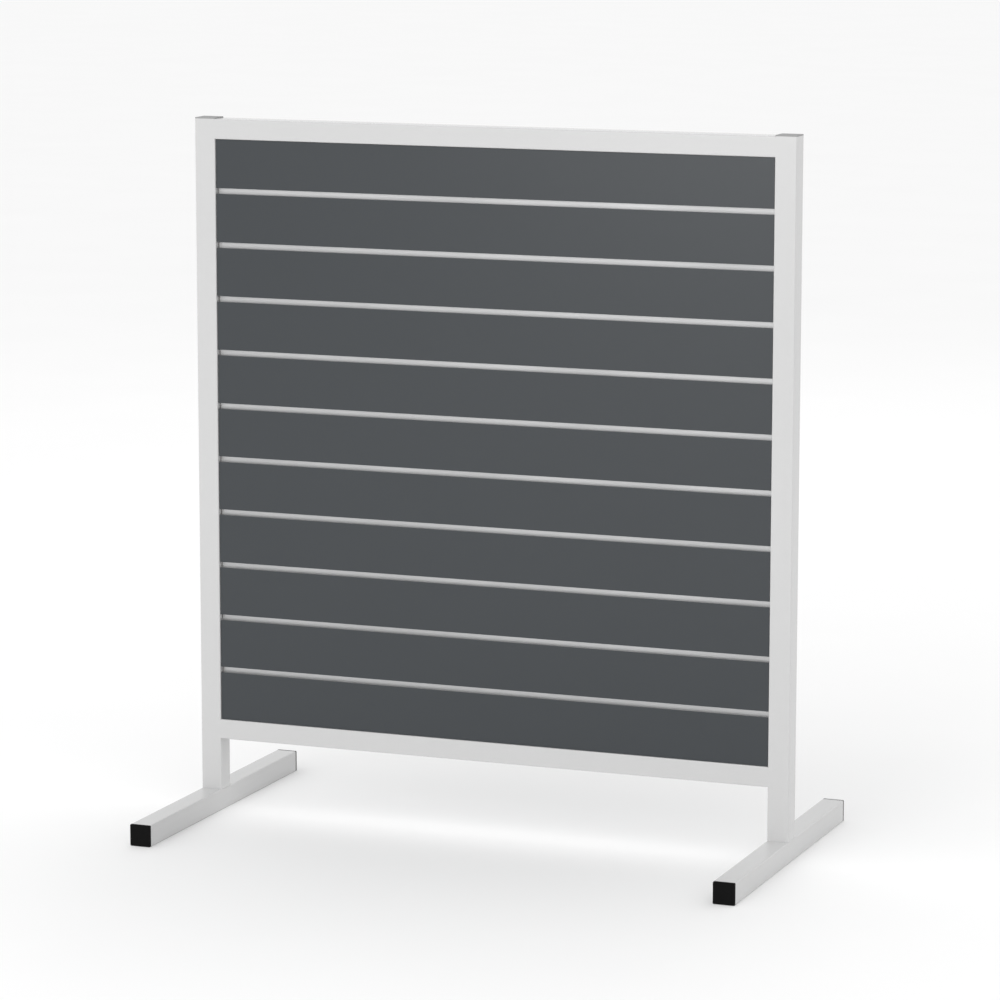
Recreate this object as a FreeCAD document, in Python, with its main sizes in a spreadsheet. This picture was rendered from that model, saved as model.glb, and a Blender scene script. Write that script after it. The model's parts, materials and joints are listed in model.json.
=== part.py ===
"""Free-standing slatwall stand: a grooved board with aluminium groove inserts in a square-tube frame
on two T feet.

Millimetres. X runs along the board, +Y points to the back, +Z is up. The origin is on the floor,
midway between the uprights and midway between the front and rear ends of the feet. Every size is
a cell of the sheet "Sizes"; an expression's bare words are names of those cells.
"""

import FreeCAD, Part
import math
import os
import re
import Sketcher
from FreeCAD import Placement, Rotation, Vector

SIZES = {
    # the stand
    "stand_width": 1158,          # over the outer faces of the two uprights
    "frame_top": 1303.5,          # floor to the top of the frame, without the upright caps
    "frame_underside": 138.2,     # floor to the underside of the bottom rail
    "foot_length": 646,           # foot tube, without its end caps
    "tube_size": 40,              # square tube of the uprights and the feet
    "tube_wall": 2,
    "tube_corner": 2,             # outer corner radius of every tube
    "rail_height": 37,            # the rails are as deep as the uprights, but less tall
    # the board and its grooves
    "board_thickness": 18,
    "board_recess": 3,            # from the frame's front to the board's face
    "board_side_gap": 1,          # between the board and an upright
    "board_end_gap": 0.6,         # between the board and a rail
    "groove_pitch": 100,
    "groove_edge": 60,            # at least this from the board's edge to the middle of a groove
    "groove_mouth": 10.5,         # opening in the board's face
    "groove_lip": 4,              # thickness of the board in front of the wide part
    "groove_cavity": 22,          # height of the wide part
    "groove_depth": 10.5,         # face to the bottom of the groove
    "insert_wall": 1,
    "insert_clearance": 0.1,      # round the insert, apart from the lips that it bears on
    # caps in the tube ends
    "upright_cap_head": 2.2,
    "foot_cap_head": 4.5,
    "cap_edge": 0.3,              # chamfer round the head
    "cap_plug_length": 16,
    "cap_plug_clearance": 1.4,    # between the plug's walls and the tube
    "cap_plug_wall": 1.8,
    "cap_fin": 1,                 # thickness of a gripping fin
    "cap_fin_pitch": 4.5,
    # joint between an upright and its foot
    "plate_thickness": 6,
    "plate_clearance": 0.2,       # between the plate and the tube wall
    "plate_edge": 6.8,            # from the plate's edge to a screw's axis
    "screw_diameter": 6,
    "thread_clearance": 0.05,     # threads are plain cylinders this far apart
    "screw_length": 16,
    "screw_chamfer": 0.8,         # at the screw's tip
    "screw_head_diameter": 10,
    "screw_head_height": 6,
    "screw_socket": 2.9,          # half the socket's width over its corners
    "screw_socket_depth": 3,
    "foot_hole_clearance": 0.5,   # round the screw in the foot's upper wall
    "washer_clearance": 0.2,      # round the screw in its washer
    "washer_diameter": 12,
    "washer_thickness": 1.6,
    "access_clearance": 0.5,      # round the washer in the hole below that it goes in by
    # tabs behind the board
    "tab_length": 26,             # from the frame's inner face
    "tab_width": 30,
    "tab_thickness": 3,
    "tab_corner": 5,
    "tab_hole_clearance": 0.25,   # round the wood screw
    "tab_hole_inset": 15,         # from the frame's inner face to the hole
    "rail_tab_spacing": 360,
    # wood screws through the tabs
    "wood_screw_diameter": 4,
    "wood_screw_length": 16,
    "wood_screw_head": 8,
    "wood_screw_head_top": 4.8,   # diameter of the flat on the head
    "wood_screw_head_height": 2.6,
    "wood_screw_head_rim": 1.3,   # height of the head's straight side
    "wood_screw_point": 3,
    "recess_reach": 2.2,          # centre to the tip of the cross recess
    "recess_slot": 0.5,           # half the width of the recess's slots
    "recess_depth": 1.5,
}
SIDE_TABS = 4  # on each upright
RAIL_TABS = 3  # on each rail
CAP_FINS = 3

# Lengths that several pieces share, as expressions in the names above
INNER_HALF = "(stand_width / 2 - tube_size)"
TUBE_INSIDE = "(tube_size - 2 * tube_wall)"
FOOT_CENTRE = "(stand_width / 2 - tube_size / 2)"
OPENING_BOTTOM = "(frame_underside + rail_height)"
OPENING_TOP = "(frame_top - rail_height)"
BOARD_BOTTOM = f"({OPENING_BOTTOM} + board_end_gap)"
BOARD_HEIGHT = f"({OPENING_TOP} - {OPENING_BOTTOM} - 2 * board_end_gap)"
BOARD_WIDTH = f"(2 * {INNER_HALF} - 2 * board_side_gap)"
BOARD_FRONT = "(board_recess - tube_size / 2)"
BOARD_BACK = f"({BOARD_FRONT} + board_thickness)"
SCREW_OFFSET = f"({TUBE_INSIDE} / 2 - plate_clearance - plate_edge)"

# How many grooves the board has room for
opening_height = SIZES["frame_top"] - SIZES["frame_underside"] - 2 * SIZES["rail_height"]
board_height = opening_height - 2 * SIZES["board_end_gap"]
GROOVES = 1 + math.floor((board_height - 2 * SIZES["groove_edge"]) / SIZES["groove_pitch"])
LOWEST_GROOVE = f"({BOARD_HEIGHT} / 2 - groove_pitch * {(GROOVES - 1) / 2})"

doc = FreeCAD.newDocument("slatwall_stand")
sheet = doc.addObject("Spreadsheet::Sheet", "Sizes")
for row, (name, value) in enumerate(SIZES.items(), 1):
    sheet.set(f"A{row}", name)
    sheet.set(f"B{row}", str(value))
    sheet.setAlias(f"B{row}", name)
doc.recompute()

subparts = []


# ---------------------------------------------------------------- helpers

def bind(target, path, text):
    """Ties a property to an expression in the sheet's names."""
    target.setExpression(path, re.sub(r"[a-z][a-z_]*", lambda word: "Sizes." + word.group(), text))


def place(thing, x, y, z, rotation=Rotation()):
    thing.Placement = Placement(Vector(), rotation)
    for axis, text in zip("xyz", (x, y, z)):
        bind(thing, f"Placement.Base.{axis}", text)


def new_body(label, x="0", y="0", z="0", rotation=Rotation(), subpart=True):
    body = doc.addObject("PartDesign::Body", label)
    body.Label = label
    place(body, x, y, z, rotation)
    if subpart:
        subparts.append(body)
    return body


def origin_feature(body, role):
    return next(item for item in body.Origin.OriginFeatures if item.Role == role)


def new_sketch(body, name, role, height="0"):
    """A sketch on one of the body's planes, or at a height above it."""
    sketch = body.newObject("Sketcher::SketchObject", f"{body.Label}_{name}")
    sketch.AttachmentSupport = (origin_feature(body, role), [""])
    sketch.MapMode = "FlatFace"
    bind(sketch, "AttachmentOffset.Base.z", height)
    return sketch


def fix_point(sketch, geometry, point, x, y):
    """Sets a point's distances from the sketch's origin."""
    for kind, text in (("DistanceX", x), ("DistanceY", y)):
        number = sketch.addConstraint(Sketcher.Constraint(kind, -1, 1, geometry, point, 1.0))
        bind(sketch, f"Constraints[{number}]", text)


def outline(sketch, corners):
    """A closed outline of straight sides through corners given as pairs of expressions."""
    count = len(corners)
    first = sketch.GeometryCount
    ring = [Vector(math.cos(math.tau * i / count), math.sin(math.tau * i / count), 0) for i in range(count)]
    for i in range(count):
        sketch.addGeometry(Part.LineSegment(ring[i], ring[(i + 1) % count]), False)
    for i in range(count):
        following = first + (i + 1) % count
        sketch.addConstraint(Sketcher.Constraint("Coincident", first + i, 2, following, 1))
    for i, (x, y) in enumerate(corners):
        fix_point(sketch, first + i, 1, x, y)


def rectangle(sketch, left, right, bottom, top):
    outline(sketch, [(left, bottom), (right, bottom), (right, top), (left, top)])


def square(sketch, half):
    rectangle(sketch, f"-{half}", half, f"-{half}", half)


def circle(sketch, x, y, diameter):
    number = sketch.addGeometry(Part.Circle(Vector(), Vector(0, 0, 1), 1), False)
    fix_point(sketch, number, 3, x, y)
    size = sketch.addConstraint(Sketcher.Constraint("Diameter", number, 2.0))
    bind(sketch, f"Constraints[{size}]", diameter)


def pad(body, sketch, length, symmetric=False, backwards=False):
    feature = body.newObject("PartDesign::Pad", f"{sketch.Name}_pad")
    feature.Profile = sketch
    feature.SideType = "Symmetric" if symmetric else "One side"
    feature.Reversed = backwards
    bind(feature, "Length", length)
    doc.recompute()
    return feature


def pocket(body, sketch, length=None, symmetric=False, backwards=False):
    """Cuts the sketch out of the body, all the way through where no length is given."""
    before = body.Shape.Volume
    feature = body.newObject("PartDesign::Pocket", f"{sketch.Name}_pocket")
    feature.Profile = sketch
    feature.SideType = "Symmetric" if symmetric else "One side"
    feature.Reversed = backwards
    if length is None:
        feature.Type = "ThroughAll"
    else:
        bind(feature, "Length", length)
    doc.recompute()
    if body.Shape.Volume >= before:
        raise RuntimeError(f"{feature.Name} removes nothing")
    return feature


def revolve(body, sketch, axis):
    feature = body.newObject("PartDesign::Revolution", f"{sketch.Name}_revolution")
    feature.Profile = sketch
    feature.ReferenceAxis = (origin_feature(body, axis), [""])
    feature.Angle = 360
    doc.recompute()
    return feature


def repeat(body, feature, axis, length, occurrences):
    """Repeats a feature along one of the body's axes."""
    pattern = body.newObject("PartDesign::LinearPattern", f"{feature.Name}_row")
    pattern.Originals = [feature]
    pattern.Direction = (origin_feature(body, axis), [""])
    pattern.Mode = "Extent"
    bind(pattern, "Length", length)
    bind(pattern, "Occurrences", occurrences)
    body.Tip = pattern
    doc.recompute()
    return pattern


def edges_of(shape, wanted):
    return [f"Edge{number}" for number, edge in enumerate(shape.Edges, 1) if wanted(edge)]


def soften(body, kind, size_name, size, wanted):
    """Adds a Fillet or a Chamfer to the edges that are wanted."""
    base = body.Tip
    feature = body.newObject(f"PartDesign::{kind}", f"{base.Name}_{kind}")
    feature.Base = (base, edges_of(base.Shape, wanted))
    bind(feature, size_name, size)
    doc.recompute()
    return feature


def round_corners(body, axis, radius):
    """Rounds the outermost edges that run along the axis (0 for X, 1 for Y, 2 for Z)."""
    box = body.Tip.Shape.BoundBox
    low = (box.XMin, box.YMin, box.ZMin)
    high = (box.XMax, box.YMax, box.ZMax)
    across = [i for i in range(3) if i != axis]

    def outermost(edge):
        start, end = edge.firstVertex().Point, edge.lastVertex().Point
        if any(abs(start[i] - end[i]) > 1e-6 for i in across):
            return False
        return all(min(abs(start[i] - low[i]), abs(start[i] - high[i])) < 1e-6 for i in across)

    soften(body, "Fillet", "Radius", radius, outermost)


def group(label, master, spots):
    """One sub-part of several loose pieces: links to the master body, one at each spot."""
    links = []
    for number, (x, y, z, rotation) in enumerate(spots, 1):
        link = doc.addObject("App::Link", f"{label}_{number}")
        link.LinkedObject = master
        place(link, x, y, z, rotation)
        links.append(link)
    compound = doc.addObject("Part::Compound", label)
    compound.Label = label
    compound.Links = links
    subparts.append(compound)
    return compound


# ---------------------------------------------------------------- the tubes

def upright(label, x):
    body = new_body(label, x=x, z="tube_size")
    section = new_sketch(body, "section", "XY_Plane")
    square(section, "tube_size / 2")
    square(section, f"{TUBE_INSIDE} / 2")
    pad(body, section, "frame_top - tube_size")
    round_corners(body, 2, "tube_corner")


def rail(label, z):
    """A rail butts against the uprights; z is its underside."""
    body = new_body(label, z=z)
    section = new_sketch(body, "section", "YZ_Plane")
    rectangle(section, "-tube_size / 2", "tube_size / 2", "0", "rail_height")
    rectangle(section, f"-{TUBE_INSIDE} / 2", f"{TUBE_INSIDE} / 2", "tube_wall", "rail_height - tube_wall")
    pad(body, section, f"2 * {INNER_HALF}", symmetric=True)
    round_corners(body, 0, "tube_corner")


def foot(label, x):
    """A foot has two wide holes below, which the screws go in by, and two screw holes above."""
    body = new_body(label, x=x)
    section = new_sketch(body, "section", "XZ_Plane")
    rectangle(section, "-tube_size / 2", "tube_size / 2", "0", "tube_size")
    rectangle(section, f"-{TUBE_INSIDE} / 2", f"{TUBE_INSIDE} / 2", "tube_wall", "tube_size - tube_wall")
    pad(body, section, "foot_length", symmetric=True)
    round_corners(body, 1, "tube_corner")
    for name, diameter, height, depth in (
        ("access", "washer_diameter + 2 * access_clearance", "0", "tube_wall"),
        ("holes", "screw_diameter + 2 * foot_hole_clearance", "tube_size - tube_wall", "tube_wall"),
    ):
        holes = new_sketch(body, name, "XY_Plane", height)
        for side in ("-", ""):
            circle(holes, "0", side + SCREW_OFFSET, diameter)
        pocket(body, holes, depth, backwards=True)


# ---------------------------------------------------------------- caps

def cap(label, head, x, y, z, rotation=Rotation()):
    """A square plug with gripping fins; the origin is at the tube's end, +Z points out of it."""
    body = new_body(label, x, y, z, rotation)
    face = new_sketch(body, "head", "XY_Plane")
    square(face, "tube_size / 2")
    pad(body, face, head)
    round_corners(body, 2, "tube_corner")
    top = SIZES[head]
    soften(body, "Chamfer", "Size", "cap_edge",
           lambda edge: all(abs(vertex.Z - top) < 1e-6 for vertex in edge.Vertexes))
    plug = new_sketch(body, "plug", "XY_Plane")
    square(plug, f"({TUBE_INSIDE} / 2 - cap_plug_clearance)")
    square(plug, f"({TUBE_INSIDE} / 2 - cap_plug_clearance - cap_plug_wall)")
    pad(body, plug, "cap_plug_length", backwards=True)
    fin = new_sketch(body, "fin", "XY_Plane", "-cap_plug_length + cap_fin")
    square(fin, f"({TUBE_INSIDE} / 2)")
    square(fin, f"({TUBE_INSIDE} / 2 - cap_plug_clearance - cap_plug_wall / 2)")
    first_fin = pad(body, fin, "cap_fin")
    repeat(body, first_fin, "Z_Axis", f"cap_fin_pitch * {CAP_FINS - 1}", f"{CAP_FINS}")


# ---------------------------------------------------------------- board and inserts

def side_tab_heights():
    """Heights of the side tabs above the board's bottom edge, each on the middle of a band."""
    bands = GROOVES + 1
    chosen = [round(1 + i * (bands - 3) / (SIDE_TABS - 1)) for i in range(SIDE_TABS)]
    return [f"({LOWEST_GROOVE} + groove_pitch * {band - 0.5})" for band in chosen]


def rail_tab_places():
    return [f"(rail_tab_spacing * {i - (RAIL_TABS - 1) / 2})" for i in range(RAIL_TABS)]


def board():
    """The origin is at the middle of the bottom edge of the board's face."""
    body = new_body("slatwall_board", y=BOARD_FRONT, z=BOARD_BOTTOM)
    section = new_sketch(body, "section", "YZ_Plane")
    rectangle(section, "0", "board_thickness", "0", BOARD_HEIGHT)
    pad(body, section, BOARD_WIDTH, symmetric=True)
    groove = new_sketch(body, "groove", "YZ_Plane")
    corners = [("0", "groove_mouth"), ("groove_lip", "groove_mouth"),
               ("groove_lip", "groove_cavity"), ("groove_depth", "groove_cavity")]
    upper = [(y, f"{LOWEST_GROOVE} + {height} / 2") for y, height in corners]
    lower = [(y, f"{LOWEST_GROOVE} - {height} / 2") for y, height in reversed(corners)]
    outline(groove, upper + lower)
    cut = pocket(body, groove, symmetric=True)
    repeat(body, cut, "Z_Axis", f"groove_pitch * {GROOVES - 1}", f"{GROOVES}")
    holes = new_sketch(body, "screw_holes", "XZ_Plane", "-board_thickness")
    for side in ("-", ""):
        for height in side_tab_heights():
            circle(holes, f"{side}({INNER_HALF} - tab_hole_inset)", height, "wood_screw_diameter")
    inset = "(tab_hole_inset - board_end_gap)"
    for x in rail_tab_places():
        circle(holes, x, inset, "wood_screw_diameter")
        circle(holes, x, f"{BOARD_HEIGHT} - {inset}", "wood_screw_diameter")
    pocket(body, holes, "wood_screw_length - tab_thickness + 2 * thread_clearance", backwards=True)


def groove_insert(label, height):
    """A C-shaped channel that lines a groove's wide part and bears on the backs of the board's lips.

    Its origin is on the board's face at mid-groove.
    """
    body = new_body(label, y=BOARD_FRONT, z=f"{BOARD_BOTTOM} + {height}")
    mouth = "(groove_mouth / 2 + insert_clearance)"
    wide = "(groove_cavity / 2 - insert_clearance)"
    back = "(groove_depth - insert_clearance)"
    outer = [("groove_lip", mouth), ("groove_lip", wide), (back, wide)]
    inner = [("groove_lip + insert_wall", mouth), ("groove_lip + insert_wall", f"{wide} - insert_wall"),
             (f"{back} - insert_wall", f"{wide} - insert_wall")]
    section = new_sketch(body, "section", "YZ_Plane")
    outer_below = [(y, f"-({z})") for y, z in reversed(outer)]
    inner_below = [(y, f"-({z})") for y, z in inner]
    outline(section, outer + outer_below + inner_below + list(reversed(inner)))
    pad(body, section, BOARD_WIDTH, symmetric=True)


# ---------------------------------------------------------------- upright-to-foot joints

def end_plate(label, x):
    """Welded into the upright's lower end and tapped for the two foot screws."""
    body = new_body(label, x=x, z="tube_size")
    section = new_sketch(body, "section", "XY_Plane")
    square(section, f"({TUBE_INSIDE} / 2 - plate_clearance)")
    for side in ("-", ""):
        circle(section, "0", side + SCREW_OFFSET, "screw_diameter")
    pad(body, section, "plate_thickness")


def foot_screw_master():
    """A socket-head screw, head down; the origin is under the head, on its bearing face."""
    body = new_body("foot_screw", subpart=False)
    section = new_sketch(body, "section", "XZ_Plane")
    shank = "(screw_diameter / 2 - thread_clearance)"
    outline(section, [("0", "-screw_head_height"), ("screw_head_diameter / 2", "-screw_head_height"),
                      ("screw_head_diameter / 2", "0"), (shank, "0"),
                      (shank, "screw_length - screw_chamfer"), (f"{shank} - screw_chamfer", "screw_length"),
                      ("0", "screw_length")])
    revolve(body, section, "Z_Axis")
    socket = new_sketch(body, "socket", "XY_Plane", "-screw_head_height")
    outline(socket, [(f"screw_socket * {math.cos(math.tau * i / 6):.6f}",
                      f"screw_socket * {math.sin(math.tau * i / 6):.6f}") for i in range(6)])
    pocket(body, socket, "screw_socket_depth", backwards=True)
    return body


def washer_master():
    body = new_body("washer", subpart=False)
    section = new_sketch(body, "section", "XY_Plane")
    circle(section, "0", "0", "washer_diameter")
    circle(section, "0", "0", "screw_diameter + 2 * washer_clearance")
    pad(body, section, "washer_thickness")
    return body


def foot_joint_spots(height):
    return [(side + FOOT_CENTRE, end + SCREW_OFFSET, height, Rotation())
            for side in ("-", "") for end in ("-", "")]


# ---------------------------------------------------------------- tabs behind the board

def tab(label, x, z, turn):
    """A plate welded to the frame behind the board; the turn about Y points it into the opening."""
    body = new_body(label, x, BOARD_BACK, z, Rotation(Vector(0, 1, 0), turn))
    section = new_sketch(body, "section", "XZ_Plane", "-tab_thickness")
    rectangle(section, "0", "tab_length", "-tab_width / 2", "tab_width / 2")
    circle(section, "tab_hole_inset", "0", "wood_screw_diameter + 2 * tab_hole_clearance")
    pad(body, section, "tab_thickness")
    free_end = SIZES["tab_length"]
    soften(body, "Fillet", "Radius", "tab_corner",
           lambda edge: len(edge.Vertexes) == 2 and all(
               abs(vertex.X - free_end) < 1e-6 for vertex in edge.Vertexes) and
           abs(edge.Vertexes[0].Z - edge.Vertexes[1].Z) < 1e-6)


def wood_screw_master():
    """A pan-head screw that points along -Y; the origin is under the head, on its bearing face."""
    body = new_body("wood_screw", subpart=False)
    section = new_sketch(body, "section", "XY_Plane")
    shank = "(wood_screw_diameter / 2 - thread_clearance)"
    outline(section, [("0", "wood_screw_head_height"),
                      ("wood_screw_head_top / 2", "wood_screw_head_height"),
                      ("wood_screw_head / 2", "wood_screw_head_rim"), ("wood_screw_head / 2", "0"),
                      (shank, "0"), (shank, "wood_screw_point - wood_screw_length"),
                      ("0", "-wood_screw_length")])
    revolve(body, section, "Y_Axis")
    recess = new_sketch(body, "recess", "XZ_Plane", "-wood_screw_head_height")
    tip, slot = "recess_reach", "recess_slot"
    outline(recess, [(tip, slot), (slot, slot), (slot, tip), (f"-{slot}", tip),
                     (f"-{slot}", slot), (f"-{tip}", slot), (f"-{tip}", f"-{slot}"),
                     (f"-{slot}", f"-{slot}"), (f"-{slot}", f"-{tip}"), (slot, f"-{tip}"),
                     (slot, f"-{slot}"), (tip, f"-{slot}")])
    pocket(body, recess, "recess_depth", backwards=True)
    return body


# ---------------------------------------------------------------- the assembly

for side, sign in (("left", "-"), ("right", "")):
    centre = sign + FOOT_CENTRE
    upright(f"{side}_upright", centre)
    cap(f"{side}_upright_cap", "upright_cap_head", centre, "0", "frame_top")
    end_plate(f"{side}_end_plate", centre)
    foot(f"{side}_foot", centre)
    cap(f"{side}_foot_front_cap", "foot_cap_head", centre, "-foot_length / 2", "tube_size / 2",
        Rotation(Vector(1, 0, 0), 90))
    cap(f"{side}_foot_rear_cap", "foot_cap_head", centre, "foot_length / 2", "tube_size / 2",
        Rotation(Vector(1, 0, 0), -90))

rail("top_rail", OPENING_TOP)
rail("bottom_rail", "frame_underside")
board()
for groove in range(GROOVES):
    from_below = GROOVES - 1 - groove
    groove_insert(f"groove_insert_{groove + 1:02d}", f"{LOWEST_GROOVE} + groove_pitch * {from_below}")

tab_screws = []
screw_y = f"{BOARD_BACK} + tab_thickness"
for side, sign, turn, inward in (("left", "-", 0, "+"), ("right", "", 180, "-")):
    wall = sign + INNER_HALF
    for number, height in enumerate(side_tab_heights(), 1):
        z = f"{BOARD_BOTTOM} + {height}"
        tab(f"{side}_tab_{number}", wall, z, turn)
        tab_screws.append((f"{wall} {inward} tab_hole_inset", screw_y, z, Rotation()))
for rail_name, wall, turn, inward in (("top", OPENING_TOP, 90, "-"), ("bottom", OPENING_BOTTOM, -90, "+")):
    for number, x in enumerate(rail_tab_places(), 1):
        tab(f"{rail_name}_tab_{number}", x, wall, turn)
        tab_screws.append((x, screw_y, f"{wall} {inward} tab_hole_inset", Rotation()))

group("foot_washers", washer_master(), foot_joint_spots("tube_size - tube_wall - washer_thickness"))
group("foot_screws", foot_screw_master(), foot_joint_spots("tube_size - tube_wall - washer_thickness"))
group("tab_screws", wood_screw_master(), tab_screws)

doc.recompute()

# ---------------------------------------------------------------- checks and files

for item in doc.Objects:
    if "Invalid" in item.State or "Error" in item.State:
        raise RuntimeError(f"{item.Label} failed: {item.State}")
for item in subparts:
    if item.Shape.isNull() or not item.Shape.isValid() or not item.Shape.Solids:
        raise RuntimeError(f"{item.Label} has no valid solid")

os.makedirs("parts", exist_ok=True)
for item in subparts:
    item.Shape.exportStep(f"parts/{item.Label}.step")
print(f"{len(subparts)} sub-parts, {GROOVES} grooves")
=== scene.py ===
"""Looks of the slatwall stand: materials, weld seams, floor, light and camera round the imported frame.

Metres. X runs along the board, +Y points to the back, +Z is up. The origin is on the floor, midway
between the uprights and midway between the front and rear ends of the feet.
"""

import json
import math

import bpy
from mathutils import Matrix, Vector


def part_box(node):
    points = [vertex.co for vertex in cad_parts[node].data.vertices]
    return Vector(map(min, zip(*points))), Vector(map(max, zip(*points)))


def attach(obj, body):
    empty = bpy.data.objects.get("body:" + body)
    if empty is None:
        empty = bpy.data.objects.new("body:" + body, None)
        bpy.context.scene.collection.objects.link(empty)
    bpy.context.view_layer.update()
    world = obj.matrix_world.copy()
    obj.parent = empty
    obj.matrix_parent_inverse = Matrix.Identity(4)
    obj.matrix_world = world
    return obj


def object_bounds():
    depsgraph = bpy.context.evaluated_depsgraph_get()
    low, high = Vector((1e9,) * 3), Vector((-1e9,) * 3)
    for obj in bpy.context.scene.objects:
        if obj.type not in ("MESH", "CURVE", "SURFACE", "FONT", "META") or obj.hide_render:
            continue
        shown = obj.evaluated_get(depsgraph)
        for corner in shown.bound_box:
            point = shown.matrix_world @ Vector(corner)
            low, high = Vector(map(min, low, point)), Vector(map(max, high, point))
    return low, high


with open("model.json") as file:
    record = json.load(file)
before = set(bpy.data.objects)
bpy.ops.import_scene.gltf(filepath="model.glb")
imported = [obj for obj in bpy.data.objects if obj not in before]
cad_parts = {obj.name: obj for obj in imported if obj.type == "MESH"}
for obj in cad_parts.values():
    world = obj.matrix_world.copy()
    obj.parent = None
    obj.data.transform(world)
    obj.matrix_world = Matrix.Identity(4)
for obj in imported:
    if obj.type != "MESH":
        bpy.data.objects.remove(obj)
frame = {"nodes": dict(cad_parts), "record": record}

cad_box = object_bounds()
MM = 0.001

TUBE_CORNER = 2 * MM
GROOVE_LIP = 4 * MM
BOARD_SKIN = 0.3 * MM  # depth of the melamine behind a face of the board


# ---------------------------------------------------------------- material helpers

class Surface:
    """A material with a Principled shader, whose patterns are fixed to the object in metres."""

    def __init__(self, name, roughness, metallic=0.0, specular=0.5):
        self.material = bpy.data.materials.new(name)
        self.material.use_nodes = True
        self.tree = self.material.node_tree
        self.shader = self.tree.nodes["Principled BSDF"]
        self.shader.inputs["Roughness"].default_value = roughness
        self.shader.inputs["Metallic"].default_value = metallic
        self.shader.inputs["Specular IOR Level"].default_value = specular
        self.coordinates = self.node("ShaderNodeTexCoord").outputs["Object"]

    def node(self, kind, **settings):
        made = self.tree.nodes.new(kind)
        for name, value in settings.items():
            setattr(made, name, value)
        return made

    def join(self, source, target):
        self.tree.links.new(source, target)

    def noise(self, grain, detail=2.0, stretch=(1, 1, 1)):
        """Noise from 0 to 1 whose grains are about that many metres across, longer along a stretched axis."""
        mapping = self.node("ShaderNodeMapping")
        mapping.inputs["Scale"].default_value = [1 / (grain * factor) for factor in stretch]
        texture = self.node("ShaderNodeTexNoise")
        texture.inputs["Scale"].default_value = 1.0
        texture.inputs["Detail"].default_value = detail
        self.join(self.coordinates, mapping.inputs["Vector"])
        self.join(mapping.outputs["Vector"], texture.inputs["Vector"])
        return texture.outputs["Fac"]

    def cells(self, size):
        """A random value from 0 to 1 for each cell of about that size."""
        texture = self.node("ShaderNodeTexVoronoi")
        texture.inputs["Scale"].default_value = 1 / size
        self.join(self.coordinates, texture.inputs["Vector"])
        split = self.node("ShaderNodeSeparateColor")
        self.join(texture.outputs["Color"], split.inputs["Color"])
        return split.outputs["Red"]

    def spread(self, value, low, high, start=0.3, end=0.7):
        """Maps start..end to low..high."""
        spread = self.node("ShaderNodeMapRange")
        self.join(value, spread.inputs["Value"])
        for name, number in (("From Min", start), ("From Max", end), ("To Min", low), ("To Max", high)):
            spread.inputs[name].default_value = number
        return spread.outputs["Result"]

    def combine(self, operation, first, second):
        maths = self.node("ShaderNodeMath", operation=operation)
        for socket, value in zip(maths.inputs, (first, second)):
            if isinstance(value, (int, float)):
                socket.default_value = value
            else:
                self.join(value, socket)
        return maths.outputs["Value"]

    def mix(self, share, first, second):
        """A colour between two colours; each is a triple or a socket."""
        blend = self.node("ShaderNodeMix", data_type="RGBA")
        self.join(share, blend.inputs["Factor"])
        for name, colour in (("A", first), ("B", second)):
            socket = next(item for item in blend.inputs if item.name == name and item.type == "RGBA")
            if isinstance(colour, tuple):
                socket.default_value = (*colour, 1)
            else:
                self.join(colour, socket)
        return next(item for item in blend.outputs if item.type == "RGBA")

    def colour(self, source):
        self.join(source, self.shader.inputs["Base Color"])

    def rough(self, source):
        self.join(source, self.shader.inputs["Roughness"])

    def relief(self, *layers):
        """Bumps from (height socket, depth in metres) pairs, one on top of another."""
        normal = None
        for height, depth in layers:
            bump = self.node("ShaderNodeBump")
            bump.inputs["Distance"].default_value = depth
            self.join(height, bump.inputs["Height"])
            if normal is not None:
                self.join(normal, bump.inputs["Normal"])
            normal = bump.outputs["Normal"]
        self.join(normal, self.shader.inputs["Normal"])


def grey(level, warmth=0.0):
    return (level * (1 + warmth), level, level * (1 - warmth))


# ---------------------------------------------------------------- materials

def frame_paint():
    """Light grey powder coat with a fine orange peel."""
    paint = Surface("frame_paint", roughness=0.21)
    cloud = paint.noise(0.25)
    speck = paint.noise(0.0012, detail=3)
    tone = paint.combine("ADD", paint.combine("MULTIPLY", cloud, 0.5), paint.combine("MULTIPLY", speck, 0.5))
    paint.colour(paint.mix(tone, grey(0.554), grey(0.589)))
    paint.rough(paint.spread(speck, 0.18, 0.24))
    paint.relief((paint.noise(0.004), 0.03 * MM), (paint.noise(0.0011, detail=3), 0.02 * MM))
    return paint.material


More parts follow.
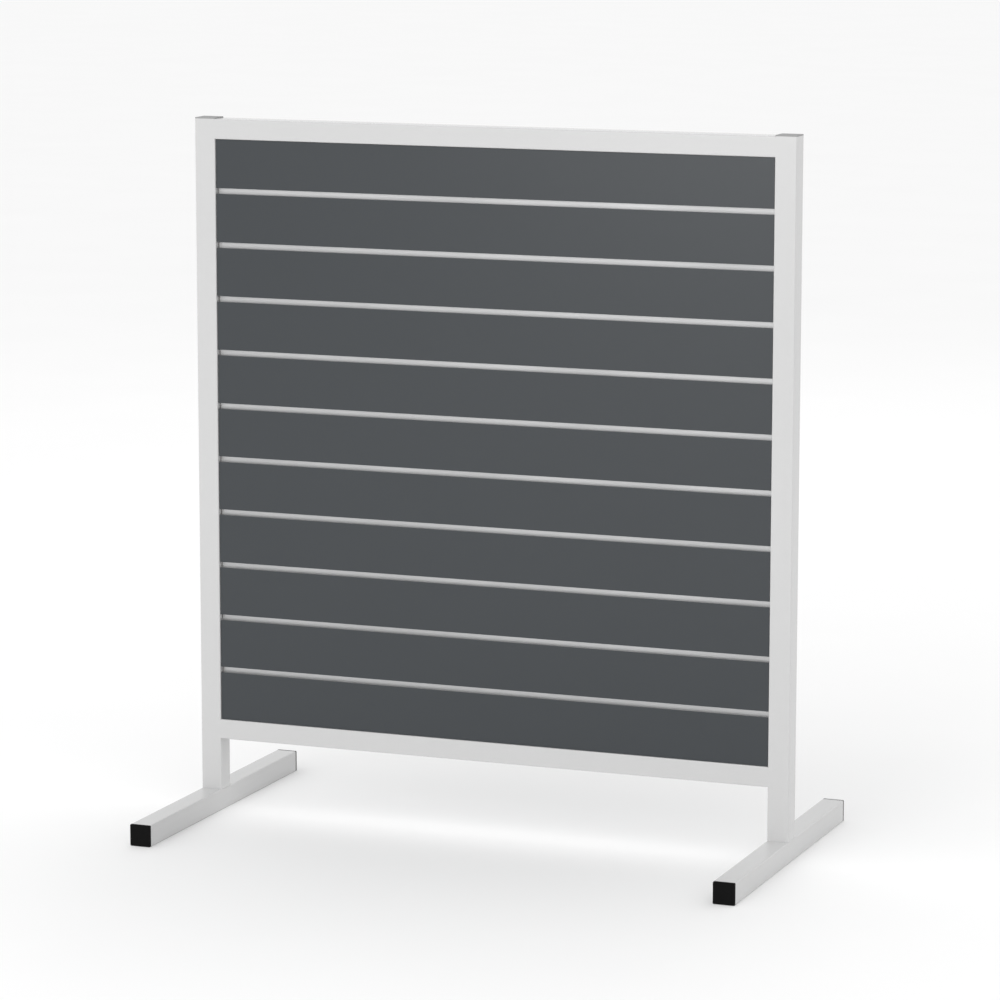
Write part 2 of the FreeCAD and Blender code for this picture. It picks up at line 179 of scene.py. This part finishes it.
def board_laminate():
    """Slate-grey melamine on the faces, grey sealer in the grooves' mouths, raw fibreboard elsewhere."""
    board = Surface("board_laminate", roughness=0.3, specular=0.5)
    low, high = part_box("slatwall_board")
    cloud = board.noise(0.18)
    pearl = board.noise(0.0009, detail=4)
    tone = board.combine("ADD", board.combine("MULTIPLY", cloud, 0.4), board.combine("MULTIPLY", pearl, 0.6))
    melamine = board.mix(tone, (0.029, 0.034, 0.039), (0.034, 0.040, 0.045))
    fibre = board.noise(0.0006, detail=4, stretch=(6, 1, 1))
    fibreboard = board.mix(fibre, (0.30, 0.19, 0.10), (0.48, 0.34, 0.21))
    sealer = board.mix(fibre, grey(0.15), grey(0.21))
    half = (high.y - low.y) / 2
    place = board.node("ShaderNodeSeparateXYZ")
    board.join(board.coordinates, place.inputs["Vector"])
    from_middle = board.combine("SUBTRACT", place.outputs["Y"], (low.y + high.y) / 2)
    faces = board.combine("GREATER_THAN", board.combine("ABSOLUTE", from_middle, 0), half - BOARD_SKIN)
    lips = board.combine("LESS_THAN", from_middle, GROOVE_LIP + 0.1 * MM - half)
    board.colour(board.mix(faces, board.mix(lips, fibreboard, sealer), melamine))
    raw = board.combine("SUBTRACT", 1, board.combine("MAXIMUM", faces, lips))
    smooth = board.spread(pearl, 0.27, 0.32)
    board.rough(board.combine("ADD", smooth, board.combine("MULTIPLY", raw, 0.4)))
    board.relief((board.noise(0.0018, detail=3), 0.03 * MM), (pearl, 0.02 * MM))
    return board.material


def insert_aluminium():
    """Satin anodised aluminium with fine die lines along the extrusion."""
    metal = Surface("insert_aluminium", roughness=0.5, metallic=1.0)
    lines = metal.noise(0.00035, detail=3, stretch=(2500, 1, 1))
    patches = metal.noise(0.05, stretch=(4, 1, 1))
    metal.colour(metal.mix(lines, grey(0.53, -0.004), grey(0.58, -0.004)))
    metal.rough(metal.spread(patches, 0.46, 0.54))
    metal.relief((lines, 0.01 * MM))
    return metal.material


def moulded_plastic(name, dark, light, roughness, specular):
    """Injection-moulded plastic with a spark-eroded grain."""
    plastic = Surface(name, roughness=roughness, specular=specular)
    grain = plastic.noise(0.0006, detail=3)
    plastic.colour(plastic.mix(plastic.noise(0.01), dark, light))
    plastic.rough(plastic.spread(grain, roughness - 0.06, roughness + 0.06))
    plastic.relief((grain, 0.04 * MM))
    return plastic.material


def zinc_steel():
    """Zinc plate: small spangles, with a faint yellow cast in places."""
    zinc = Surface("zinc_steel", roughness=0.38, metallic=1.0)
    spangle = zinc.cells(0.0012)
    cast = zinc.noise(0.004)
    bright = zinc.mix(spangle, grey(0.62, -0.01), grey(0.74, -0.01))
    zinc.colour(zinc.mix(zinc.spread(cast, 0.0, 0.5), bright, (0.66, 0.62, 0.50)))
    zinc.rough(zinc.spread(spangle, 0.3, 0.45, 0, 1))
    zinc.relief((zinc.noise(0.0005, detail=3), 0.01 * MM))
    return zinc.material


MATERIALS = {
    "frame_paint": frame_paint(),
    "board_laminate": board_laminate(),
    "insert_aluminium": insert_aluminium(),
    "black_plastic": moulded_plastic("black_plastic", grey(0.004), grey(0.006), 0.6, 0.06),
    "grey_plastic": moulded_plastic("grey_plastic", grey(0.315), grey(0.345), 0.8, 0.15),
    "zinc_steel": zinc_steel(),
}
for row in frame["record"]["subparts"]:
    mesh = frame["nodes"][row["node"]].data
    mesh.materials.clear()
    mesh.materials.append(MATERIALS[row["material_slot"]])


# ---------------------------------------------------------------- weld seams

CORNER_STEPS = 8       # straight pieces in a tube's round corner
BEAD_LEG = 2.6 * MM
BEAD_INSET = 3 * MM    # from a tab's edge to the end of its weld
BEAD_RIPPLE = 1.3 * MM
BEAD_STEPS = 80
BEAD_SIDES = 8
RIPPLE_DEPTH = 0.07    # share of the leg
HOLLOW = 0.14          # share of the leg that the weld's middle lies below a round one


def painted_piece(name, vertices, faces, smooth=True):
    mesh = bpy.data.meshes.new(name)
    mesh.from_pydata(vertices, [], faces)
    mesh.validate()
    mesh.update()
    for face in mesh.polygons:
        face.use_smooth = smooth
    mesh.materials.append(MATERIALS["frame_paint"])
    piece = bpy.data.objects.new(name, mesh)
    bpy.context.scene.collection.objects.link(piece)
    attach(piece, "root")
    return piece


def strip(rings):
    """Faces between rings of equally many vertices, with both ends closed."""
    count = len(rings[0])
    vertices = [point for ring in rings for point in ring]
    faces = [tuple(range(count)), tuple(reversed(range(len(vertices) - count, len(vertices))))]
    for ring in range(len(rings) - 1):
        for i in range(count):
            a, b = ring * count + i, ring * count + (i + 1) % count
            faces.append((b, a, a + count, b + count))
    return vertices, faces


def ground_seam(name, rail, side):
    """Weld metal, ground flush, that fills the notch between a rail's end and the upright's round corner.

    It is one piece for each rail end, with a part at the front and a part at the back.
    """
    low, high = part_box(rail)
    wall = low.x if side < 0 else high.x
    vertices, faces = [], []
    for face_y, inward in ((low.y, 1), (high.y, -1)):
        outline = [(wall, face_y), (wall + side * TUBE_CORNER, face_y)]
        for step in range(1, CORNER_STEPS):
            angle = math.pi / 2 * step / CORNER_STEPS
            outline.append((wall + side * TUBE_CORNER * (1 - math.sin(angle)),
                            face_y + inward * TUBE_CORNER * (1 - math.cos(angle))))
        outline.append((wall, face_y + inward * TUBE_CORNER))
        if side * inward < 0:
            outline.reverse()
        rings = [[(x, y, z) for x, y in outline] for z in (low.z + TUBE_CORNER / 2, high.z - TUBE_CORNER / 2)]
        part_vertices, part_faces = strip(rings)
        faces += [tuple(len(vertices) + i for i in face) for face in part_faces]
        vertices += part_vertices
    painted_piece(name, vertices, faces, smooth=False)


def weld_bead(name, start, end, up, out):
    """A fillet weld from start to end in the corner between two faces, whose outward normals are up and out.

    It thins at both ends, its face is rippled, and the ripples lag behind in the middle of the face.
    """
    start, end, up, out = (Vector(item) for item in (start, end, up, out))
    length = (end - start).length
    rings = []
    for step in range(BEAD_STEPS + 1):
        share = step / BEAD_STEPS
        root = start.lerp(end, share)
        swell = math.sqrt(max(0.02, 1 - abs(2 * share - 1) ** 8))
        ring = []
        for i in range(BEAD_SIDES + 1):
            angle = math.pi / 2 * i / BEAD_SIDES
            scallop = length * share / BEAD_RIPPLE - 0.35 * math.sin(2 * angle)
            ripple = 1 - RIPPLE_DEPTH + RIPPLE_DEPTH * abs(math.sin(math.pi * scallop))
            hollow = 1 - HOLLOW + HOLLOW * abs(math.cos(2 * angle))
            radius = BEAD_LEG * swell * ripple * hollow
            ring.append(root + up * radius * math.sin(angle) + out * radius * math.cos(angle))
        ring.append(root)
        rings.append(ring)
    vertices, faces = strip(rings)
    painted_piece(name, [tuple(point) for point in vertices], faces)


for rail in ("top_rail", "bottom_rail"):
    for side_name, side in (("left", -1), ("right", 1)):
        ground_seam(f"{rail}_{side_name}_seam", rail, side)

for node in sorted(frame["nodes"]):
    if "_tab_" not in node:
        continue
    low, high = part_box(node)
    where = node.split("_")[0]
    if where in ("left", "right"):
        x = low.x if where == "left" else high.x
        ends = [(x, high.y, low.z + BEAD_INSET), (x, high.y, high.z - BEAD_INSET)]
        out = (1 if where == "left" else -1, 0, 0)
    else:
        z = low.z if where == "bottom" else high.z
        ends = [(low.x + BEAD_INSET, high.y, z), (high.x - BEAD_INSET, high.y, z)]
        out = (0, 0, 1 if where == "bottom" else -1)
    weld_bead(f"{node}_weld", *ends, (0, 1, 0), out)


# ---------------------------------------------------------------- floor, light and camera

FLOOR_REACH = 400      # from the stand to the floor's edge, so far that it looks endless
FLOOR_GAP = 0.2 * MM
CAMERA_LENS = 150.144  # millimetres, as Blender counts it
CAMERA_PLACE = (2.73322, -6.97942, 1.87902)
CAMERA_AZIMUTH, CAMERA_ELEVATION, CAMERA_ROLL = 21.267, 9.507, 0.048


def make_floor():
    """A pale square that glows faintly, so that it stays light under the stand."""
    mesh = bpy.data.meshes.new("floor")
    corners = [(x * FLOOR_REACH, y * FLOOR_REACH, 0) for x, y in ((-1, -1), (1, -1), (1, 1), (-1, 1))]
    mesh.from_pydata(corners, [], [(0, 1, 2, 3)])
    floor = bpy.data.objects.new("floor", mesh)
    floor.location.z = cad_box[0].z - FLOOR_GAP
    bpy.context.scene.collection.objects.link(floor)
    pale = Surface("floor", roughness=0.9, specular=0.0)
    pale.colour(pale.mix(pale.noise(0.5), grey(0.85), grey(0.87)))
    pale.shader.inputs["Emission Color"].default_value = (1, 1, 1, 1)
    pale.shader.inputs["Emission Strength"].default_value = 0.06
    mesh.materials.append(pale.material)


def surroundings(horizon, zenith):
    """White light from all round, stronger from above; at the horizon it is as light as the floor."""
    world = bpy.data.worlds.new("surroundings")
    world.use_nodes = True
    nodes, links = world.node_tree.nodes, world.node_tree.links
    way = nodes.new("ShaderNodeTexCoord")
    parts = nodes.new("ShaderNodeSeparateXYZ")
    ramp = nodes.new("ShaderNodeMapRange")
    links.new(way.outputs["Generated"], parts.inputs["Vector"])
    links.new(parts.outputs["Z"], ramp.inputs["Value"])
    ramp.inputs["To Min"].default_value = horizon
    ramp.inputs["To Max"].default_value = zenith
    nodes["Background"].inputs["Color"].default_value = (1, 1, 1, 1)
    links.new(ramp.outputs["Result"], nodes["Background"].inputs["Strength"])
    bpy.context.scene.world = world


def softbox(name, azimuth, elevation, distance, size, power):
    """A square area light that looks at the middle of the object; azimuth 0 is in front of it."""
    light = bpy.data.lights.new(name, "AREA")
    light.shape = "SQUARE"
    light.size = size
    light.energy = power
    lamp = bpy.data.objects.new(name, light)
    bpy.context.scene.collection.objects.link(lamp)
    centre = (cad_box[0] + cad_box[1]) / 2
    turn = direction(azimuth, elevation)
    lamp.matrix_world = Matrix.Translation(centre + turn.col[2] * distance) @ turn.to_4x4()


def direction(azimuth, elevation, roll=0.0):
    """A camera's or lamp's axes, as columns, when it looks at the object from there; angles in degrees."""
    return (Matrix.Rotation(math.radians(azimuth), 3, "Z")
            @ Matrix.Rotation(math.radians(90 - elevation), 3, "X")
            @ Matrix.Rotation(math.radians(roll), 3, "Z"))


def make_camera():
    data = bpy.data.cameras.new("camera")
    data.lens = CAMERA_LENS
    data.sensor_width = 36
    data.clip_start = 0.1
    data.clip_end = 200
    camera = bpy.data.objects.new("camera", data)
    turn = direction(CAMERA_AZIMUTH, CAMERA_ELEVATION, CAMERA_ROLL)
    camera.matrix_world = Matrix.Translation(CAMERA_PLACE) @ turn.to_4x4()
    bpy.context.scene.collection.objects.link(camera)
    bpy.context.scene.camera = camera


make_floor()
surroundings(horizon=0.92, zenith=1.08)
softbox("key", azimuth=-4, elevation=16, distance=6.0, size=2.4, power=70.5)
softbox("low", azimuth=-14, elevation=6, distance=6.0, size=1.2, power=5.9)
softbox("rear", azimuth=185, elevation=40, distance=6.0, size=2.4, power=25)
make_camera()
bpy.context.scene.view_settings.view_transform = "Standard"
